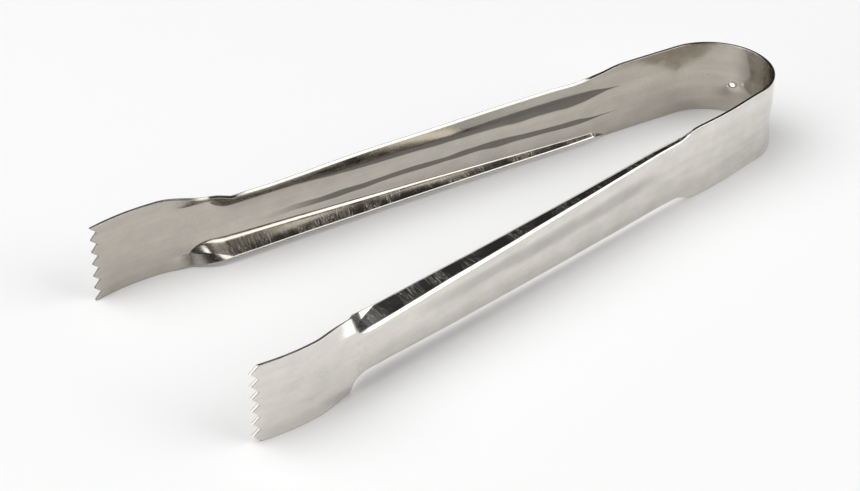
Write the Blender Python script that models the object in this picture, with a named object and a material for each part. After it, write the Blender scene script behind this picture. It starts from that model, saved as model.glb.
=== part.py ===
"""Ice tongs pressed from one strip of spring steel.

The strip lies on its edge: its width stands upright along Z, the bow is at +X and the two
serrated claws are at -X.  Distances along the strip are measured from the middle of the bow,
on the strip's outer face.  The arms are pressed into shallow channels that open inwards, and
the bow, the flanks and the claws stay flat.  The strip is divided into zones where it flexes.
"""
import math

import bmesh
import bpy

MM = 0.001

# Driving dimensions
STRIP_WIDTH = 19.5 * MM
SHEET = 0.8 * MM
BOW_RADIUS = 15.6 * MM               # outer face of the bow
ARM_SPLAY = math.radians(6.57)       # each arm's angle to the centre plane, at rest
BOW_TOP_X = 90.0 * MM                # outermost point of the bow
# The strip is bent a little off its middle, so the left arm's pattern lies further out
TIP_STATION = {1: 188.0 * MM, -1: 189.9 * MM}
PATTERN_SHIFT = {1: 0.0, -1: 4.5 * MM}

# Zones along each half of the strip
CROWN_END = 5.0 * MM
SHOULDER_END = 14.0 * MM
SIDE_END = 25.0 * MM
FLANK_END = 46.0 * MM
CHANNEL_END = 147.0 * MM
ZONE_GAP = 0.3 * MM

# Pressed channel of each arm
PRESS_START = (41.0 * MM, 60.0 * MM)      # flat strip, full channel
PRESS_FINISH = (151.5 * MM, 163.5 * MM)   # full channel, flat claw
FOLD_SHARE = 0.3                          # folds are fully turned at this much pressing
WEB_HALF = (7.3 * MM, 4.8 * MM)           # at the bow end, at the claw end
FLANGE_LENGTH = (0.9 * MM, 3.5 * MM)      # at the bow end, at the claw end
LIP_LENGTH = (0.3 * MM, 0.6 * MM)         # at the bow end, at the claw end
FACET_LENGTH = 1.2 * MM
FACET_TURN = math.radians(45)
FLANGE_TURN = math.radians(82)
WEB_PROUD = (0.4 * MM, 1.45 * MM)         # web stands outside the line of the bow

# Claws
CLAW_BEND_START = 172.2 * MM             # the claw curves inwards from here
CLAW_RADIUS = 54.0 * MM
TOOTH_DEPTH = 1.9 * MM
TOOTH_ROOT = 4.5 * MM                     # teeth are drawn in this last stretch

# Grid across the strip
WEB_STEPS = 3
HALF_STEPS = WEB_STEPS + 3                # web, facet, flange and lip, from the middle out
STEEL = (0.62, 0.60, 0.57, 1.0)


def mix(pair, share):
    """Value a share of the way from the first of a pair to the second."""
    return pair[0] + (pair[1] - pair[0]) * share


def smooth(value, start, end):
    """Smooth step from 0 at start to 1 at end."""
    share = min(max((value - start) / (end - start), 0.0), 1.0)
    return share * share * (3.0 - 2.0 * share)


def along_channel(place):
    """Share of the way along the pressed channel, growing faster towards the claw."""
    share = (place - PRESS_START[1]) / (PRESS_FINISH[0] - PRESS_START[1])
    return min(max(share, 0.0), 1.0) ** 2


def pressing(place):
    """How far the strip is pressed into a channel: 0 is flat and 1 is the full channel."""
    return smooth(place, *PRESS_START) * (1.0 - smooth(place, *PRESS_FINISH))


def outline(side, station):
    """Middle of the outer face at a station: place (x, y) on the +Y side and inward normal."""
    turn = math.pi / 2 - ARM_SPLAY
    angle = min(station / BOW_RADIUS, turn)
    straight = max(station - BOW_RADIUS * turn, 0.0)
    x = BOW_TOP_X - BOW_RADIUS * (1.0 - math.cos(angle)) - straight * math.sin(angle)
    y = BOW_RADIUS * math.sin(angle) + straight * math.cos(angle)
    inward = (-math.cos(angle), -math.sin(angle))
    place = station - PATTERN_SHIFT[side]
    proud = mix(WEB_PROUD, along_channel(place)) * smooth(place, *PRESS_START)
    bend = max(station - CLAW_BEND_START, 0.0)
    lateral = bend * bend / (2.0 * CLAW_RADIUS) - proud
    return x + inward[0] * lateral, y + inward[1] * lateral, inward


def section(side, station):
    """Points of the outer face from the strip's middle to its edge, as (depth, height)."""
    place = station - PATTERN_SHIFT[side]
    share = along_channel(place)
    amount = pressing(place)
    fold = smooth(amount, 0.0, FOLD_SHARE)
    web = mix(WEB_HALF, share)
    facet = FACET_LENGTH * amount
    flange = mix(FLANGE_LENGTH, share) * amount
    lip = mix(LIP_LENGTH, share)
    steps = [(web / WEB_STEPS, 0.0)] * WEB_STEPS
    steps += [(facet, FACET_TURN), (flange, FLANGE_TURN), (lip, 0.0)]
    even = STRIP_WIDTH / 2 / HALF_STEPS
    evenness = 1.0 - amount
    depth = height = 0.0
    points = [(depth, height)]
    for length, turn in steps:
        length = mix((length, even), evenness)
        depth += length * math.sin(turn * fold)
        height += length * math.cos(turn * fold)
        points.append((depth, height))
    return points


def strip_row(side, start_station, tooth_phase=None):
    """One row of points across the strip; the last row of a claw is cut into teeth."""
    row = []
    for column in range(-HALF_STEPS, HALF_STEPS + 1):
        station = start_station
        if tooth_phase is not None and (column + HALF_STEPS) % 2 == tooth_phase:
            station -= TOOTH_DEPTH
        x, y, inward = outline(side, abs(station))
        depth, height = section(side, abs(station))[abs(column)]
        mirror = side if station >= 0 else -side
        z = STRIP_WIDTH / 2 + math.copysign(height, column)
        row.append((x + inward[0] * depth, mirror * (y + inward[1] * depth), z))
    return row


def stations(start, end, longest_step):
    """Evenly spaced stations from start to end, no further apart than longest_step."""
    count = max(1, math.ceil((end - start) / longest_step - 1e-6))
    return [start + (end - start) * index / count for index in range(count + 1)]


def steel_material(name, roughness):
    """Polished stainless steel."""
    material = bpy.data.materials.new(name)
    material.use_nodes = True
    shader = material.node_tree.nodes["Principled BSDF"]
    shader.inputs["Base Color"].default_value = STEEL
    shader.inputs["Metallic"].default_value = 1.0
    shader.inputs["Roughness"].default_value = roughness
    return material


def sheet_object(name, rows, side, roughness):
    """Sheet of steel between rows of points, thickened inwards from its outer face."""
    mesh = bpy.data.meshes.new(name)
    grid = bmesh.new()
    lines = [[grid.verts.new(point) for point in row] for row in rows]
    for line, following in zip(lines, lines[1:]):
        for index in range(len(line) - 1):
            corners = [line[index], following[index], following[index + 1], line[index + 1]]
            grid.faces.new(corners if side > 0 else corners[::-1])
    grid.normal_update()
    grid.to_mesh(mesh)
    grid.free()
    piece = bpy.data.objects.new(name, mesh)
    bpy.context.scene.collection.objects.link(piece)
    thicken = piece.modifiers.new("sheet", "SOLIDIFY")
    thicken.thickness = SHEET
    thicken.offset = -1.0
    thicken.use_even_offset = True
    mesh.materials.append(steel_material(name + "_steel", roughness))
    return piece


def zone(name, side, start, end, longest_step, roughness=0.2):
    """One zone of the strip, between two stations, with half a gap left at each end."""
    places = stations(start + ZONE_GAP / 2, end - ZONE_GAP / 2, longest_step)
    return sheet_object(name, [strip_row(side, place) for place in places], side, roughness)


def claw(name, side, tooth_phase):
    """Neck and claw of one arm, down to its teeth."""
    neck_end = PRESS_FINISH[1] + PATTERN_SHIFT[side]
    tip = TIP_STATION[side]
    places = stations(CHANNEL_END + ZONE_GAP / 2, neck_end, 2.2 * MM)
    places += stations(neck_end, tip - TOOTH_ROOT, 4.0 * MM)[1:]
    rows = [strip_row(side, place) for place in places]
    rows.append(strip_row(side, tip, tooth_phase))
    return sheet_object(name, rows, side, 0.32)


def arm(label, side, tooth_phase):
    """Everything on one side of the crown, from the shoulder to the claw."""
    zone(label + "_bow_shoulder", side, CROWN_END, SHOULDER_END, 2.4 * MM)
    zone(label + "_bow_side", side, SHOULDER_END, SIDE_END, 2.8 * MM)
    zone(label + "_flank", side, SIDE_END, FLANK_END, 5.0 * MM)
    zone(label + "_channel", side, FLANK_END, CHANNEL_END, 6.0 * MM)
    claw(label + "_claw", side, tooth_phase)


for old in list(bpy.data.objects):
    bpy.data.objects.remove(old)

zone("bow_crown", 1, -CROWN_END, CROWN_END, 2.0 * MM)
arm("left", -1, 0)
arm("right", 1, 1)
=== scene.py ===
"""Looks of the ice tongs: one strip of spring steel, modelled whole and cut into the pieces that bend."""
import math
from dataclasses import dataclass

import bpy
import numpy as np
from mathutils import Matrix, Vector


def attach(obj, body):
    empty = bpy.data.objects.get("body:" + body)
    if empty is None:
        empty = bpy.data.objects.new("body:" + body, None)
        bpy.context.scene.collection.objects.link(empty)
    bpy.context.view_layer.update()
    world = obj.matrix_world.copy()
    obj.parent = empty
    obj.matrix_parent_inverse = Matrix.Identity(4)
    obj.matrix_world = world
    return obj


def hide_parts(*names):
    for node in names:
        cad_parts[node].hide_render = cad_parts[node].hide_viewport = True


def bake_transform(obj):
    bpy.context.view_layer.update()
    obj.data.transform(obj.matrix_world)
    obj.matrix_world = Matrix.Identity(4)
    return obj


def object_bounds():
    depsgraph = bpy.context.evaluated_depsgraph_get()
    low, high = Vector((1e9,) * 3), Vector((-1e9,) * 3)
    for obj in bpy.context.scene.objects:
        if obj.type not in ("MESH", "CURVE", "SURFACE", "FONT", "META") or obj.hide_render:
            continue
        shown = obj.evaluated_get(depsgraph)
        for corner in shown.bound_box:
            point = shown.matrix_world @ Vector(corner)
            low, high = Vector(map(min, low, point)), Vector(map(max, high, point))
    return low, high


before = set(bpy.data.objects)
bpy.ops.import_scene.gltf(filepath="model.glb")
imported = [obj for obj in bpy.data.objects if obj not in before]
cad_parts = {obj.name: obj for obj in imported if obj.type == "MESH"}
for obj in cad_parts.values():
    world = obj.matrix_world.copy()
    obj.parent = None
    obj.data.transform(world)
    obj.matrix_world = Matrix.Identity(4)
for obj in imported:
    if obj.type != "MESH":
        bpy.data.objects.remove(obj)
cad_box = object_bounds()

MM = 0.001

# The strip, in millimetres.  Stations run along its outer face from the middle of the bow,
# positive on the right (+Y) half and negative on the left half.
STRIP_WIDTH = 19.5
SHEET = 0.8
BOW_RADIUS = 15.6
BOW_TOP_X = 90.0
ARM_SPLAY = math.radians(6.57)
TIP_STATION = {1: 188.0, -1: 189.9}
PATTERN_SHIFT = {1: 0.0, -1: 4.5}
EDGE_RADIUS = 0.13

# The pressed channels.  A place is a station counted along the press tool, so that both halves
# share its marks.  Widths run from the middle of the strip to its edge, along the sheet.
CHANNEL_PLACES = (62.5, 143.5)
BEND_GROWN = 127.5
FOLD_LEAD = 2.0
TAPER_LENGTH = 5.0
ROUND_LENGTH = 9.0
ROUND_NOSE = 6.0
TIP_WIDTH = 6.6
NOSE_FADE = (-3.0, 4.5)
LIP_GROWTH_POWER = 0.8
LIP_TURN = math.radians(45)
LIP_BEND = 0.25
LIP_LENGTH = 0.08
MOUTH_INNER = 4.5
WEB_CROWN = 0.22
EVEN_MARGIN = 3.0
EVEN_CLAW_LENGTH = 8.0

# The flanges are not quite straight: a slow wave, in degrees, and its two rates per millimetre.
FOLD_WAVE = 1.3
FOLD_WAVE_RATES = (0.11, 0.043)

# The web stands out of the plain strip along the arm, and the left flank has a belly.
PROUD = 1.5
PROUD_START = 57.0
PROUD_LENGTH = 95.0
FLANK_BELLY = {1: 0.0, -1: 0.7}
BELLY_STATION = 38.0
BELLY_LENGTH = 11.0


@dataclass
class Fold:
    """One pressed edge.  A pair holds the values at the bow's and at the claw's end of the channel."""
    bow_tip: float
    claw_tip: float
    growth: float
    web_half: tuple
    bend_radius: tuple
    half_width: tuple
    flange_turn: tuple
    mouth_turn: float
    mouth_length: float


# The four folds differ, as on the real strip.  Turns are in degrees.
FOLDS = {
    (1, "upper"): Fold(
        bow_tip=41.5, claw_tip=157.5, growth=18.0, web_half=(3.4, 2.9), bend_radius=(3.0, 3.0),
        half_width=(9.5, 10.5), flange_turn=(14.0, 46.0), mouth_turn=50.0, mouth_length=13.0),
    (1, "lower"): Fold(
        bow_tip=44.0, claw_tip=162.6, growth=7.0, web_half=(7.0, 4.2), bend_radius=(1.5, 3.4),
        half_width=(9.9, 10.9), flange_turn=(59.5, 59.0), mouth_turn=20.0, mouth_length=8.0),
    (-1, "upper"): Fold(
        bow_tip=44.0, claw_tip=157.7, growth=7.0, web_half=(6.97, 4.2), bend_radius=(0.9, 1.9),
        half_width=(9.2, 9.95), flange_turn=(73.0, 73.0), mouth_turn=31.0, mouth_length=12.0),
    (-1, "lower"): Fold(
        bow_tip=44.0, claw_tip=159.0, growth=7.0, web_half=(6.97, 4.3), bend_radius=(0.9, 1.8),
        half_width=(9.2, 10.1), flange_turn=(69.0, 69.0), mouth_turn=20.0, mouth_length=11.0),
}

# The claws
CLAW_BEND_START = 172.2
CLAW_RADIUS = 54.0
TOOTH_DEPTH = 1.9
TOOTH_ROOT = 4.5
TOOTH_FLAT = 0.05
PITCHES_IN_HALF = 3
TIP_ROWS = 0.6
FACE_INSET = 0.10

# Grid across half the section: web, bend, flange, lip bend, lip
PARTS = (13, 12, 5, 4, 2)
HALF_COLUMNS = sum(PARTS)
FINE_STEPS = 600
EDGE_STEPS = 3


def mix(low, high, share):
    return low + (high - low) * share


def smooth(value, start, end):
    share = np.clip((np.asarray(value, float) - start) / (end - start), 0.0, 1.0)
    return share * share * (3.0 - 2.0 * share)


def linear(value, start, end):
    return np.clip((value - start) / (end - start), 0.0, 1.0)


def bulge(side, station):
    """How far the web stands out of the plain strip."""
    place = station - PATTERN_SHIFT[side]
    rise = linear(place, PROUD_START, PROUD_START + PROUD_LENGTH)
    belly = FLANK_BELLY[side] * np.exp(-((station - BELLY_STATION) / BELLY_LENGTH) ** 2)
    return PROUD * (1.0 - (1.0 - rise) ** 2) + belly


def outline(side, station):
    """Middle of the outer face: x and y on the +Y side, and the inward normal."""
    turn = math.pi / 2 - ARM_SPLAY
    angle = np.minimum(station / BOW_RADIUS, turn)
    straight = np.maximum(station - BOW_RADIUS * turn, 0.0)
    x = BOW_TOP_X - BOW_RADIUS * (1.0 - np.cos(angle)) - straight * np.sin(angle)
    y = BOW_RADIUS * np.sin(angle) + straight * np.cos(angle)
    bend = np.maximum(station - CLAW_BEND_START, 0.0)
    lateral = bend * bend / (2.0 * CLAW_RADIUS) - bulge(side, station)
    inward = np.stack([-np.cos(angle), -np.sin(angle)], -1)
    return x + inward[..., 0] * lateral, y + inward[..., 1] * lateral, inward


def unit(vectors):
    length = np.linalg.norm(vectors, axis=-1, keepdims=True)
    return vectors / np.maximum(length, 1e-9)


def ramp(across, start, end):
    """Smooth step from 0 to 1 between two columns of values, safe where they meet."""
    share = np.clip((across - start) / np.maximum(end - start, 1e-3), 0.0, 1.0)
    return share * share * (3.0 - 2.0 * share)


def flange_turn(fold, place):
    """How far the flange is folded in from the plane of the web, in degrees."""
    return mix(*fold.flange_turn, linear(place, *CHANNEL_PLACES))


def fold_marks(side, edge, stations):
    """Where the bend, the flange and the lip start and end across the strip, and the half width."""
    fold = FOLDS[side, edge]
    place = stations - PATTERN_SHIFT[side]
    inside = fold.claw_tip - place
    into_bow = linear(place, fold.bow_tip, fold.bow_tip + TAPER_LENGTH)
    nose = np.sqrt(1.0 - (1.0 - linear(inside, 0.0, ROUND_NOSE)) ** 2)
    lip_opened = linear(inside, 0.0, ROUND_LENGTH) ** LIP_GROWTH_POWER
    share = (place - CHANNEL_PLACES[0]) / (CHANNEL_PLACES[1] - CHANNEL_PLACES[0])
    pressed = smooth(place, fold.bow_tip - FOLD_LEAD, fold.bow_tip + TAPER_LENGTH)
    pressed = pressed * smooth(inside, -FOLD_LEAD, ROUND_LENGTH)
    half_width = mix(STRIP_WIDTH / 2, mix(*fold.half_width, share), pressed)
    web = mix(half_width, mix(*fold.web_half, share), into_bow)
    bend_start = mix(TIP_WIDTH, web, nose)
    lip_end = mix(TIP_WIDTH, half_width, lip_opened)
    radius = mix(*fold.bend_radius, linear(place, CHANNEL_PLACES[0], BEND_GROWN))
    middle = (bend_start + lip_end) / 2
    bend_end = np.minimum(bend_start + radius * np.radians(flange_turn(fold, place)), middle)
    lip_start = np.maximum(lip_end - LIP_LENGTH - LIP_BEND, middle)
    lip_full = np.minimum(lip_start + LIP_BEND, lip_end)
    return bend_start, bend_end, lip_start, lip_full, half_width


def section_turn(side, edge, stations, fine):
    """Turn of the outer face from the plane of the strip, at fine steps across it, in radians."""
    fold = FOLDS[side, edge]
    place = stations - PATTERN_SHIFT[side]
    inside = fold.claw_tip - place
    bend_start, bend_end, lip_start, lip_end, half_width = fold_marks(side, edge, stations)
    fold_start = fold.bow_tip - FOLD_LEAD
    into_bow = smooth(place, fold_start, fold_start + fold.growth)
    into_claw = smooth(inside, *NOSE_FADE)
    wave = FOLD_WAVE * np.sin(place * FOLD_WAVE_RATES[0] + side) * np.sin(place * FOLD_WAVE_RATES[1])
    flange = np.radians(flange_turn(fold, place) + wave) * into_bow * into_claw
    mouth = math.radians(fold.mouth_turn) * smooth(inside, -fold.mouth_length, 0.0) * into_bow
    lip_share = smooth(inside, 0.0, ROUND_LENGTH)
    lip = np.minimum(mix(mouth, LIP_TURN * into_bow, lip_share), flange + mouth)
    risen = ramp(fine, bend_start[:, None], bend_end[:, None])
    fallen = ramp(fine, lip_start[:, None], lip_end[:, None])
    base = (mouth * (1.0 - lip_share))[:, None] * ramp(fine, MOUTH_INNER, half_width[:, None])
    turn = base + (flange[:, None] - base) * risen - (flange - lip)[:, None] * fallen * risen
    crown = WEB_CROWN * 2.0 / bend_start[:, None] ** 2 * np.minimum(fine, bend_start[:, None])
    return np.maximum(turn + crown * (into_bow * into_claw)[:, None] * (1.0 - risen), 0.0)


def half_face(side, edge, stations, across):
    """Depth, height and turn of the outer face at the given widths across the strip."""
    half_width = fold_marks(side, edge, stations)[-1]
    fine = np.linspace(0.0, 1.0, FINE_STEPS + 1)[None, :] * half_width[:, None]
    turn = section_turn(side, edge, stations, fine)
    step = half_width[:, None] / FINE_STEPS
    middle_turn = (turn[:, 1:] + turn[:, :-1]) / 2
    start = np.zeros((len(stations), 1))
    depth = np.concatenate([start, np.cumsum(np.sin(middle_turn) * step, 1)], 1)
    height = np.concatenate([start, np.cumsum(np.cos(middle_turn) * step, 1)], 1)
    return [np.array([np.interp(a, f, v) for a, f, v in zip(across, fine, values)])
            for values in (depth, height, turn)]


def column_widths(side, edge, stations):
    """Width across the strip of each column of the grid."""
    fold = FOLDS[side, edge]
    place = stations - PATTERN_SHIFT[side]
    bend_start, bend_end, lip_start, lip_end, half_width = fold_marks(side, edge, stations)
    marks = [0.0 * half_width, bend_start, bend_end, lip_start, lip_end, half_width]
    columns = []
    for (start, end), count in zip(zip(marks[:-1], marks[1:]), PARTS):
        for number in range(count):
            columns.append(mix(start, end, number / count))
    columns.append(half_width)
    across = np.stack(columns, 1)
    even_across = half_width[:, None] * np.linspace(0.0, 1.0, HALF_COLUMNS + 1)[None, :]
    even_bow = 1.0 - smooth(place, fold.bow_tip - EVEN_MARGIN, fold.bow_tip + TAPER_LENGTH)
    even_claw = smooth(place, fold.claw_tip - EVEN_MARGIN, fold.claw_tip + EVEN_CLAW_LENGTH)
    return mix(across, even_across, np.maximum(even_bow, even_claw)[:, None])


def half_loop(side, edge, stations):
    """Half of the closed section: outer face, edge and inner face, from middle to middle."""
    half_width = fold_marks(side, edge, stations)[-1]
    across = column_widths(side, edge, stations) * (1.0 - EDGE_RADIUS / half_width[:, None])
    depth, height, turn = half_face(side, edge, stations, across)
    inward = np.stack([np.cos(turn), -np.sin(turn)], -1)
    outer = np.stack([depth, height], -1)
    inner = outer + inward * SHEET
    onward = np.stack([np.sin(turn[:, -1]), np.cos(turn[:, -1])], -1)
    rim = []
    for number in range(1, EDGE_STEPS + 1):
        angle = number / EDGE_STEPS * math.pi / 2
        reach, sunk = math.sin(angle), 1.0 - math.cos(angle)
        rim.append(outer[:, -1] + (onward * reach + inward[:, -1] * sunk) * EDGE_RADIUS)
    for number in range(EDGE_STEPS):
        angle = number / EDGE_STEPS * math.pi / 2
        reach, sunk = math.cos(angle), 1.0 - math.sin(angle)
        rim.append(inner[:, -1] + (onward * reach - inward[:, -1] * sunk) * EDGE_RADIUS)
    return np.concatenate([outer, np.stack(rim, 1), inner[:, ::-1]], 1)


HALF_LOOP = 2 * (HALF_COLUMNS + 1) + 2 * EDGE_STEPS
LOOP = 2 * HALF_LOOP - 2


def tooth_wave():
    """For each column of the loop, 0 at a tooth's tip and 1 at a root, for the right claw."""
    period = HALF_COLUMNS // PITCHES_IN_HALF
    columns = list(range(HALF_COLUMNS + 1)) + [HALF_COLUMNS] * (2 * EDGE_STEPS)
    columns += list(range(HALF_COLUMNS, -1, -1))
    return np.abs(((np.array(columns, float) / period) * 2.0) % 2.0 - 1.0)


def whole_loop(side, stations):
    """The closed section: the upper half, and the lower half turned over."""
    upper = half_loop(side, "upper", stations)
    lower = half_loop(side, "lower", stations)[:, -2:0:-1]
    return np.concatenate([upper, lower * (1.0, -1.0)], 1)


def steps_between(start, end, longest):
    count = max(1, math.ceil((end - start) / longest - 1e-6))
    return [start + (end - start) * number / count for number in range(count)]


# Stations where the visible pieces meet, and a station past both tips
CROWN_SEAM, BEND_SEAM, FLANK_SEAM, CLAW_SEAM, BEYOND_TIPS = 9.5, 19.5, 46.0, 147.0, 200.0


def half_stations(side):
    """Stations of the rows of one half, from the middle of the bow to the teeth."""
    shift = PATTERN_SHIFT[side]
    tip = TIP_STATION[side]
    # Where each stretch starts, and its longest step
    marks = [(0.0, 0.5), (CROWN_SEAM, 0.5), (BEND_SEAM, 0.6), (26.0, 1.0), (40.0, 0.5), (FLANK_SEAM, 0.5),
             (66.0 + shift, 1.6), (CLAW_SEAM, 0.4), (166.0 + shift, 0.8)]
    rows = []
    ends = [mark[0] for mark in marks[1:]] + [tip - TOOTH_ROOT]
    for (start, longest), end in zip(marks, ends):
        rows += steps_between(start, end, longest)
    rows += steps_between(tip - TOOTH_ROOT, tip - TIP_ROWS, 0.4)
    rows += [tip - TIP_ROWS, tip - TIP_ROWS / 2, tip - EDGE_RADIUS, tip - EDGE_RADIUS * 0.3, tip]
    return np.array(rows)


def wobble(signed, height):
    """Slight unevenness of the pressed sheet, in millimetres."""
    total = 0.020 * np.sin(signed * 0.21 + 1.3) * np.cos(height * 0.17 + 0.4)
    total += 0.007 * np.sin(signed * 0.47 + height * 0.31 + 2.1)
    total += 0.0015 * np.sin(signed * 1.13 - height * 0.72 + 0.7)
    return total


def bow_dent(signed, height):
    """The dents knocked into the outside of the bow: a long groove, and a boss that shows inside."""
    groove_depth, boss_depth = 0.7, 0.62
    groove = groove_depth * np.exp(-(((signed + 5.0) / 13.0) ** 4) - ((height - 7.2) / 3.0) ** 2)
    boss = boss_depth * np.exp(-(((signed - 6.4) / 2.3) ** 2) - ((height - 7.0) / 1.9) ** 2)
    return groove + boss


def half_grid(side):
    """Rows of points of one half, its stations and the strip coordinates of every point."""
    rows = half_stations(side)
    tip = TIP_STATION[side]
    loop = whole_loop(side, rows)
    wave = tooth_wave()
    if side > 0:
        wave = 1.0 - wave
    wave = np.concatenate([wave, wave[-2:0:-1]])
    wave = mix(TOOTH_FLAT, 1.0, wave)
    root = smooth(rows, tip - TOOTH_ROOT, tip - TIP_ROWS)
    stations = rows[:, None] - TOOTH_DEPTH * wave[None, :] * root[:, None]
    depth, height = loop[..., 0].copy(), loop[..., 1]
    left = np.maximum(rows - (tip - EDGE_RADIUS), 0.0)
    tuck = EDGE_RADIUS - np.sqrt(np.maximum(EDGE_RADIUS ** 2 - left ** 2, 0.0))
    middle = loop[:, :1, 0] + SHEET / 2
    depth -= np.sign(depth - middle) * np.minimum(tuck[:, None], np.abs(depth - middle))
    x, y, inward = outline(side, np.abs(stations))
    signed = side * stations
    z = height + STRIP_WIDTH / 2
    depth += wobble(signed, z) + bow_dent(signed, z) + FACE_INSET
    points = np.stack([x + inward[..., 0] * depth, side * (y + inward[..., 1] * depth), z], -1)
    layer = np.concatenate([np.zeros(HALF_LOOP // 2), np.ones(HALF_LOOP // 2)])
    layer = np.concatenate([layer, layer[-2:0:-1]])
    strip = np.stack([signed, z, np.broadcast_to(layer, z.shape)], -1)
    return rows * side, points * MM, strip


right_rows, right_points, right_strip = half_grid(1)
left_rows, left_points, left_strip = half_grid(-1)
rows = np.concatenate([left_rows[:0:-1], right_rows])
points = np.concatenate([left_points[:0:-1], right_points])
strip = np.concatenate([left_strip[:0:-1], right_strip])


def grid_normals(points):
    """Smooth normals of the whole strip, so that the pieces' shading meets without a seam."""
    following = np.roll(points, -1, axis=1)
    first = following[1:] - points[:-1]
    second = following[:-1] - points[1:]
    faces = np.cross(first, second)
    total = np.zeros_like(points)
    total[:-1] += faces
    total[1:] += faces
    around = np.roll(faces, 1, axis=1)
    total[:-1] += around
    total[1:] += around
    return unit(total)


normals = grid_normals(points)


def cap_faces(ring, flipped):
    """Quads that close a piece's end, between its outer and its inner face."""
    quads = []
    for start in (0, HALF_LOOP - 1):
        last = HALF_LOOP - 1
        for number in range(HALF_LOOP // 2 - 1):
            corners = [start + number, start + number + 1, start + last - number - 1, start + last - number]
            corners = [ring + corner % LOOP for corner in corners]
            quads.append(corners[::-1] if flipped else corners)
    return quads


def strip_piece(name, start, end, material):
    """The stretch of the strip between two stations, as a closed mesh with smooth shading."""
    chosen = np.where((rows >= start - 1e-6) & (rows <= end + 1e-6))[0]
    count = len(chosen)
    places = points[chosen].reshape(-1, 3)
    smooth_normals = normals[chosen].reshape(-1, 3)
    row, column = np.meshgrid(np.arange(count - 1), np.arange(LOOP), indexing="ij")
    nxt = (column + 1) % LOOP
    sides = np.stack([row * LOOP + column, (row + 1) * LOOP + column,
                      (row + 1) * LOOP + nxt, row * LOOP + nxt], -1).reshape(-1, 4)
    caps = np.array(cap_faces(0, False) + cap_faces((count - 1) * LOOP, True))
    quads = np.concatenate([sides, caps])
    mesh = bpy.data.meshes.new(name)
    mesh.from_pydata(places.tolist(), [], quads.tolist())
    mesh.shade_smooth()
    diagonals = [places[caps[:, end]] - places[caps[:, start]] for start, end in ((0, 2), (1, 3))]
    cap_normals = unit(np.cross(*diagonals))
    loops = np.concatenate([smooth_normals[sides.reshape(-1)], np.repeat(cap_normals, 4, axis=0)])
    mesh.normals_split_custom_set(loops.tolist())
    attribute = mesh.attributes.new("strip", "FLOAT_VECTOR", "POINT")
    attribute.data.foreach_set("vector", strip[chosen].reshape(-1).astype(np.float32))
    mesh.materials.append(material)
    piece = bpy.data.objects.new(name, mesh)
    bpy.context.scene.collection.objects.link(piece)
    return piece


class Nodes:
    """A short way to write a node tree."""

    def __init__(self, material):
        material.use_nodes = True
        self.tree = material.node_tree
        self.shader = self.tree.nodes["Principled BSDF"]

    def link(self, source, target):
        self.tree.links.new(source, target)

    def add(self, kind, inputs=(), **settings):
        node = self.tree.nodes.new(kind)
        for name, value in settings.items():
            setattr(node, name, value)
        for name, value in dict(inputs).items():
            socket = node.inputs[name]
            if isinstance(value, bpy.types.NodeSocket):
                self.link(value, socket)
            else:
                socket.default_value = value
        return node

    def math(self, operation, first, second=0.0, third=0.0):
        inputs = {0: first, 1: second, 2: third}
        return self.add("ShaderNodeMath", inputs, operation=operation).outputs[0]

    def product(self, first, *others):
        for other in others:
            first = self.math("MULTIPLY", first, other)
        return first

    def added(self, total, value, share):
        return self.math("MULTIPLY_ADD", value, share, total)

    def noise(self, vector, scale, detail=3.0, roughness=0.55):
        inputs = {"Vector": vector, "Scale": scale, "Detail": detail, "Roughness": roughness}
        return self.add("ShaderNodeTexNoise", inputs).outputs["Fac"]

    def step(self, value, low, high, to_low=0.0, to_high=1.0):
        inputs = {"Value": value, "From Min": low, "From Max": high, "To Min": to_low, "To Max": to_high}
        node = self.add("ShaderNodeMapRange", inputs, interpolation_type="SMOOTHSTEP")
        return node.outputs["Result"]

    def fall(self, value, low, high):
        return self.step(value, low, high, 1.0, 0.0)

    def scaled(self, vector, scale):
        return self.add("ShaderNodeVectorMath", {0: vector, 1: scale}, operation="MULTIPLY").outputs[0]


STEEL_COLOUR = (0.69, 0.665, 0.62)
# Painted shade: the inner face of the strip is coloured warmer and darker than the outer face.
INNER_SHADE_TINT = (0.0, -0.018, -0.045)
RELIEF_DISTANCE = 0.00002


def band_edge(nodes, drifted, centre, half_width):
    """Distance from the middle of a band that runs along the strip, 1 at its edge."""
    away = nodes.math("ABSOLUTE", nodes.math("SUBTRACT", drifted, centre))
    return nodes.math("DIVIDE", away, half_width)


def painted_dark_reflections(nodes, along, drifted, inside):
    """Painted dark reflections: two dark bands, painted into the colour, that taper along the inner face of
    the right arm.
    """
    ends = nodes.product(nodes.step(along, 40.0, 41.0), nodes.fall(along, 120.0, 150.0))
    leaf = nodes.step(along, 40.0, 58.0, 0.03, 1.0)
    upper_half = nodes.product(leaf, nodes.step(along, 50.0, 140.0, 2.2, 0.5))
    upper = band_edge(nodes, drifted, 13.2, upper_half)
    lower = band_edge(nodes, drifted, 7.0, nodes.product(leaf, 0.8))
    bands = nodes.fall(nodes.math("MINIMUM", upper, lower), 0.7, 1.1)
    return nodes.product(bands, ends, inside)


def painted_reflection_streak(nodes, along, drifted, outside):
    """A soft, wide streak of painted dark reflection along the outer face of the left arm."""
    ends = nodes.product(nodes.step(along, -155.0, -120.0), nodes.fall(along, -75.0, -55.0))
    across = nodes.product(nodes.step(drifted, 8.5, 11.8), nodes.fall(drifted, 11.8, 15.2))
    return nodes.product(across, ends, outside)


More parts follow.
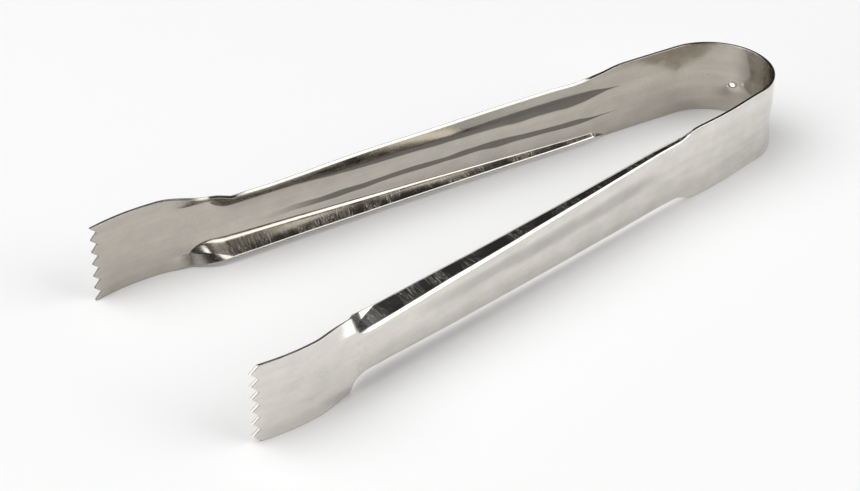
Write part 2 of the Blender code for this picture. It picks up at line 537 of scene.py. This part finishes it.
def steel():
    """Polished stainless steel worn by use, with streaks, scratches and specks, satin on the claws; its
    colour also holds painted shade on the inner face and painted dark reflections along both arms.
    """
    material = bpy.data.materials.new("stainless_steel")
    nodes = Nodes(material)
    place = nodes.add("ShaderNodeAttribute", attribute_name="strip").outputs["Vector"]
    along, height, layer = nodes.add("ShaderNodeSeparateXYZ", {"Vector": place}).outputs
    satin = nodes.step(nodes.math("ABSOLUTE", along), 146.0, 168.0)
    inside = nodes.step(layer, 0.4, 0.6)
    outside = nodes.math("SUBTRACT", 1.0, inside)

    # Patterns drawn out along the strip: long streaks, clouds, specks, grain and crossing scratches
    streaks = nodes.noise(nodes.scaled(place, (0.03, 0.8, 7.0)), 0.5, 3.0, 0.5)
    fine_streaks = nodes.noise(nodes.scaled(place, (0.1, 3.0, 9.0)), 1.3, 3.0, 0.6)
    clouds = nodes.noise(nodes.scaled(place, (0.7, 1.0, 11.0)), 0.22, 4.0, 0.6)
    specks = nodes.noise(nodes.scaled(place, (1.0, 1.0, 13.0)), 2.6, 2.0, 0.6)
    grain = nodes.noise(nodes.scaled(place, (1.0, 1.0, 5.0)), 4.5, 3.0, 0.7)
    lines = nodes.add("ShaderNodeTexWave", {
        "Vector": nodes.scaled(place, (0.5, 0.12, 3.0)), "Scale": 0.9, "Distortion": 30.0,
        "Detail": 3.0, "Detail Scale": 1.7}, wave_type="BANDS").outputs["Fac"]
    scratches = nodes.product(nodes.step(lines, 0.985, 1.0), nodes.step(clouds, 0.42, 0.55))
    dark_specks = nodes.step(specks, 0.66, 0.74)
    drift = nodes.noise(nodes.scaled(place, (0.02, 0.1, 3.0)), 1.0, 3.0, 0.6)
    drifted = nodes.math("ADD", height, nodes.math("MULTIPLY_ADD", drift, 4.0, -2.0))

    # Each shade runs from where its pattern is 0 to where it is 1
    shade = nodes.product(
        nodes.step(streaks, 0.35, 0.65, 0.95, 1.03),
        # painted shade: the inner face is darkened to 0.77, the outer face brightened to 1.04
        nodes.step(inside, 0.0, 1.0, 1.04, 0.77),
        # painted dark reflections: two bands darken the right arm's inner face down to 0.34
        nodes.step(painted_dark_reflections(nodes, along, drifted, inside), 0.0, 1.0, 1.0, 0.34),
        # painted reflection: a soft darker streak on the left arm's outer face, down to 0.74
        nodes.step(painted_reflection_streak(nodes, along, drifted, outside), 0.0, 1.0, 1.0, 0.74),
        nodes.step(clouds, 0.3, 0.7, 0.93, 1.04),
        nodes.step(fine_streaks, 0.3, 0.7, 0.97, 1.02))
    speck_depth = nodes.math("MULTIPLY_ADD", satin, 0.1, 0.08)
    shade = nodes.math("SUBTRACT", shade, nodes.product(dark_specks, speck_depth))
    # painted shade: a warmer tint on the inner face
    inner_shade_tint = nodes.add("ShaderNodeVectorMath", {0: INNER_SHADE_TINT}, operation="SCALE")
    nodes.link(inside, inner_shade_tint.inputs["Scale"])
    tint = nodes.add("ShaderNodeVectorMath", {0: inner_shade_tint.outputs[0], 1: STEEL_COLOUR}, operation="ADD")
    colour = nodes.add("ShaderNodeVectorMath", {0: tint.outputs[0]}, operation="SCALE")
    nodes.link(shade, colour.inputs["Scale"])
    nodes.link(colour.outputs[0], nodes.shader.inputs["Base Color"])

    rough = nodes.added(nodes.step(clouds, 0.3, 0.7, 0.1, 0.17), satin, 0.17)
    rough = nodes.added(rough, scratches, 0.2)
    rough = nodes.added(rough, dark_specks, 0.12)
    nodes.link(rough, nodes.shader.inputs["Roughness"])

    relief = nodes.product(grain, nodes.math("MULTIPLY_ADD", satin, 0.5, 0.22))
    relief = nodes.added(relief, specks, 0.4)
    relief = nodes.added(relief, fine_streaks, 0.2)
    relief = nodes.added(relief, scratches, -0.5)
    bump = nodes.add("ShaderNodeBump", {"Height": relief, "Strength": 0.35, "Distance": RELIEF_DISTANCE})
    nodes.link(bump.outputs["Normal"], nodes.shader.inputs["Normal"])
    nodes.shader.inputs["Metallic"].default_value = 1.0
    return material


steel_look = steel()
for label, side in (("right", 1), ("left", -1)):
    def stretch(name, start, end):
        low, high = sorted((side * start, side * end))
        return strip_piece(label + "_" + name, low, high, steel_look)

    crown = stretch("bow_crown_skin", 0.0, CROWN_SEAM)
    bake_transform(crown)
    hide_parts("bow_crown")
    bend = stretch("bow_bend_skin", CROWN_SEAM, BEND_SEAM)
    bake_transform(bend)
    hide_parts(label + "_bow_shoulder", label + "_bow_side")
    flank = stretch("flank_skin", BEND_SEAM, FLANK_SEAM)
    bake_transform(flank)
    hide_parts(label + "_flank")
    channel = stretch("channel_skin", FLANK_SEAM, CLAW_SEAM)
    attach(channel, label + "_arm")
    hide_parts(label + "_channel")
    claw = stretch("claw_skin", CLAW_SEAM, BEYOND_TIPS)
    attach(claw, label + "_arm")
    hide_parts(label + "_claw")


# Floor, light and camera
def plain(name, colour, roughness):
    material = bpy.data.materials.new(name)
    material.use_nodes = True
    shader = material.node_tree.nodes["Principled BSDF"]
    shader.inputs["Base Color"].default_value = (*colour, 1.0)
    shader.inputs["Roughness"].default_value = roughness
    return material


floor_z = cad_box[0].z
bpy.ops.mesh.primitive_plane_add(size=3.0, location=(0.0, 0.0, floor_z))
floor = bpy.context.object
floor.name = "floor"
floor.data.materials.append(plain("floor_white", (0.9, 0.9, 0.9), 0.9))


def softbox(name, location, target, width, height, power):
    light = bpy.data.lights.new(name, "AREA")
    light.shape = "RECTANGLE"
    light.size = width
    light.size_y = height
    light.energy = power
    lamp = bpy.data.objects.new(name, light)
    lamp.location = location
    lamp.rotation_euler = (Vector(target) - Vector(location)).to_track_quat("-Z", "Y").to_euler()
    bpy.context.scene.collection.objects.link(lamp)
    return lamp


# Where each softbox hangs, what it faces, its width and height in metres, and its power in watts
softbox("back_left_light", (-0.5, 0.4, 1.3), (0, 0, 0), 1.8, 1.8, 26.0)
softbox("front_right_light", (0.712, -0.712, 0.61), (0, 0, 0), 1.1, 1.16, 9.0)
softbox("left_light", (-1.2, 0.0, 0.3), (0, 0, 0.01), 0.5, 0.3, 2.0)

world = bpy.data.worlds.new("studio")
world.use_nodes = True
world.node_tree.nodes["Background"].inputs["Color"].default_value = (0.03, 0.03, 0.03, 1.0)
bpy.context.scene.world = world

CAMERA_AZIMUTH = math.radians(-38.483)
CAMERA_ELEVATION = math.radians(32.986)
CAMERA_ROLL = math.radians(0.244)
CAMERA_DISTANCE = 0.54697
CAMERA_TARGET = Vector((-0.01343, 0.00398, 0.0))
back = Vector((math.sin(CAMERA_AZIMUTH) * math.cos(CAMERA_ELEVATION),
               -math.cos(CAMERA_AZIMUTH) * math.cos(CAMERA_ELEVATION), math.sin(CAMERA_ELEVATION)))
right = Vector((math.cos(CAMERA_AZIMUTH), math.sin(CAMERA_AZIMUTH), 0.0))
up = back.cross(right)
turned_right = right * math.cos(CAMERA_ROLL) + up * math.sin(CAMERA_ROLL)
turned_up = up * math.cos(CAMERA_ROLL) - right * math.sin(CAMERA_ROLL)
camera_data = bpy.data.cameras.new("camera")
camera_data.lens = 96.28
camera_data.sensor_width = 36.0
camera_data.clip_start = 0.01
camera = bpy.data.objects.new("camera", camera_data)
camera.matrix_world = Matrix.Translation(CAMERA_TARGET + back * CAMERA_DISTANCE) @ Matrix(
    (turned_right, turned_up, back)).transposed().to_4x4()
bpy.context.scene.collection.objects.link(camera)
bpy.context.scene.camera = camera
bpy.context.scene.view_settings.view_transform = "Standard"
